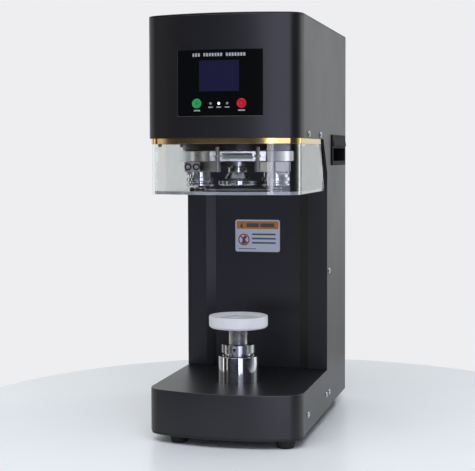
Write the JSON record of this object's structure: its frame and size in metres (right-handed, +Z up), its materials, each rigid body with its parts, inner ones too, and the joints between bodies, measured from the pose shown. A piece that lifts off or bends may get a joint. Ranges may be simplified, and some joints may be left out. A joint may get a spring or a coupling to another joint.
{
  "type": "can sealing machine",
  "caption": "Bench-top can seamer: bowed black housing, clear guard round two seaming rollers, and a white cup tray on a screw lift.",
  "frame": {"origin": "middle of the footprint, on the surface that the feet stand on", "axes": "+Z up, -Y towards the user and the bowed front, +X to the user's right"},
  "size_m": [0.207, 0.357, 0.541],
  "materials": {
    "powder_black": "satin fine-texture powder coat",
    "steel_plate": "ground steel plate",
    "gold": "polished gold anodised strip",
    "clear_acrylic": "clear polished acrylic",
    "black_pan": "matt black paint",
    "foot_rubber": "matt moulded rubber",
    "handle_plastic": "fine-grain moulded ABS",
    "screw_steel": "blackened steel",
    "label_film": "printed polyester film",
    "panel_gloss": "gloss black overlay",
    "screen_glass": "gloss dark blue display",
    "light_clear": "clear lens",
    "button_green": "gloss green",
    "button_red": "gloss red",
    "board": "solder-mask green",
    "supply_case": "folded aluminium case",
    "inlet_plastic": "moulded black nylon",
    "rocker_red": "gloss red rocker",
    "motor_paint": "grey enamel",
    "pulley_alu": "turned aluminium",
    "belt_rubber": "toothed rubber belt",
    "cast_grey": "machined cast iron",
    "bearing_steel": "ground bearing steel",
    "bright_steel": "bright ground stainless",
    "dark_steel": "blackened steel",
    "arm_steel": "milled nickel-plated steel",
    "polished_steel": "polished hardened steel",
    "turned_steel": "turned stainless steel",
    "white_nylon": "machined white nylon"
  },
  "bodies": {
    "frame": {"left_side_panel": "powder_black", "right_side_panel": "powder_black", "head_front_cover": "powder_black", "head_top_cover": "powder_black", "head_plate": "steel_plate", "gold_trim": "gold", "clear_guard": "clear_acrylic", "guard_floor": "clear_acrylic", "guard_brackets": "pulley_alu", "column_front_cover": "powder_black", "rear_cover": "powder_black", "base_cover": "powder_black", "base_pan": "black_pan", "base_plate": "steel_plate", "rubber_feet": "foot_rubber", "carry_handles": "handle_plastic", "housing_screws": "screw_steel", "safety_label": "label_film", "control_panel": "panel_gloss", "display_screen": "screen_glass", "indicator_lights": "light_clear", "control_board": "board", "power_supply": "supply_case", "power_inlet": "inlet_plastic", "frame_posts": "steel_plate", "motor_bracket": "steel_plate", "main_motor": "motor_paint", "spindle_belt": "belt_rubber", "cam_belt": "belt_rubber", "spindle_housing": "cast_grey", "bearings": "bearing_steel", "chuck_shaft": "turned_steel", "chuck": "polished_steel", "lift_sleeve": "polished_steel", "lift_motor": "motor_paint", "lift_belt": "belt_rubber"},
    "turret": {"spindle": "turned_steel", "spindle_pulley": "pulley_alu", "turret_plate": "bright_steel", "arm_pivot_pins": "turned_steel", "arm_spring": "polished_steel"},
    "cam": {"cam_disc": "dark_steel", "cam_pulley": "pulley_alu"},
    "motor_rotor": {"motor_pulley": "pulley_alu"},
    "first_arm": {"first_arm": "arm_steel"},
    "second_arm": {"second_arm": "arm_steel"},
    "first_roller": {"first_roller": "polished_steel"},
    "second_roller": {"second_roller": "polished_steel"},
    "first_follower": {"first_follower": "bearing_steel"},
    "second_follower": {"second_follower": "bearing_steel"},
    "lift_screw": {"lift_screw": "turned_steel", "lift_screw_pulley": "pulley_alu"},
    "lift_motor_rotor": {"lift_motor_pulley": "pulley_alu"},
    "lift_piston": {"lift_piston": "polished_steel"},
    "adjusting_ring": {"adjusting_ring": "turned_steel"},
    "tray": {"tray_stem": "turned_steel", "cup_tray": "white_nylon"},
    "start_button": {"start_button": "button_green"},
    "stop_button": {"stop_button": "button_red"},
    "power_rocker": {"power_rocker": "rocker_red"}
  },
  "joints": [
    {"name": "turret_spin", "type": "hinge", "parent": "frame", "child": "turret", "pos_m": [0, -0.082, 0.36], "axis": [0, 0, 1], "continuous": true},
    {"name": "cam_spin", "type": "hinge", "parent": "frame", "child": "cam", "pos_m": [0, -0.082, 0.376], "axis": [0, 0, 1], "continuous": true},
    {"name": "motor_spin", "type": "hinge", "parent": "frame", "child": "motor_rotor", "pos_m": [0, 0.0945, 0.45], "axis": [0, 0, 1], "continuous": true},
    {"name": "first_arm_swing", "type": "hinge", "parent": "turret", "child": "first_arm", "pos_m": [-0.04805, -0.12902, 0.35], "axis": [0, 0, -1], "range_deg": [0, 5], "stiffness_Nm_per_rad": 4, "springref_deg": -1.15, "deforming": ["arm_spring"]},
    {"name": "second_arm_swing", "type": "hinge", "parent": "turret", "child": "second_arm", "pos_m": [0.0645, -0.10096, 0.35], "axis": [0, 0, 1], "range_deg": [0, 5], "stiffness_Nm_per_rad": 4, "springref_deg": -1.15, "deforming": ["arm_spring"]},
    {"name": "first_roller_spin", "type": "hinge", "parent": "first_arm", "child": "first_roller", "pos_m": [-0.04803, -0.09398, 0.334], "axis": [0, 0, 1], "continuous": true},
    {"name": "second_roller_spin", "type": "hinge", "parent": "second_arm", "child": "second_roller", "pos_m": [0.04803, -0.07003, 0.334], "axis": [0, 0, 1], "continuous": true},
    {"name": "first_follower_spin", "type": "hinge", "parent": "first_arm", "child": "first_follower", "pos_m": [-0.0175, -0.13583, 0.374], "axis": [0, 0, 1], "continuous": true},
    {"name": "second_follower_spin", "type": "hinge", "parent": "second_arm", "child": "second_follower", "pos_m": [0.04072, -0.12132, 0.374], "axis": [0, 0, 1], "continuous": true},
    {"name": "lift_screw_turn", "type": "hinge", "parent": "frame", "child": "lift_screw", "pos_m": [0, -0.082, 0.05], "axis": [0, 0, -1], "range_deg": [0, 1081]},
    {"name": "lift_slide", "type": "slide", "parent": "frame", "child": "lift_piston", "axis": [0, 0, 1], "range_m": [0, 0.03]},
    {"name": "lift_motor_turn", "type": "hinge", "parent": "frame", "child": "lift_motor_rotor", "pos_m": [0, 0.068, 0.05], "axis": [0, 0, -1], "range_deg": [0, 2162]},
    {"name": "ring_turn", "type": "hinge", "parent": "lift_piston", "child": "adjusting_ring", "pos_m": [0, -0.082, 0.11], "axis": [0, 0, 1], "range_deg": [0, 721]},
    {"name": "tray_height", "type": "slide", "parent": "lift_piston", "child": "tray", "axis": [0, 0, 1], "range_m": [0, 0.008]},
    {"name": "start_press", "type": "slide", "parent": "frame", "child": "start_button", "axis": [0, 1, 0], "range_m": [0, 0.001], "stiffness_N_per_m": 800, "springref_m": -0.0006},
    {"name": "stop_press", "type": "slide", "parent": "frame", "child": "stop_button", "axis": [0, 1, 0], "range_m": [0, 0.001], "stiffness_N_per_m": 800, "springref_m": -0.0006},
    {"name": "power_rock", "type": "hinge", "parent": "frame", "child": "power_rocker", "pos_m": [0.045, 0.172, 0.142], "axis": [1, 0, 0], "range_deg": [-14, 0]}
  ],
  "couplings": [
    {"joint": "cam_spin", "follows": "turret_spin", "ratio": 0.98039},
    {"joint": "motor_spin", "follows": "turret_spin", "ratio": 2},
    {"joint": "lift_screw_turn", "follows": "lift_slide", "rad_per_m": 628.32},
    {"joint": "lift_motor_turn", "follows": "lift_slide", "rad_per_m": 1256.6},
    {"joint": "ring_turn", "follows": "tray_height", "rad_per_m": 1570.8}
  ]
}
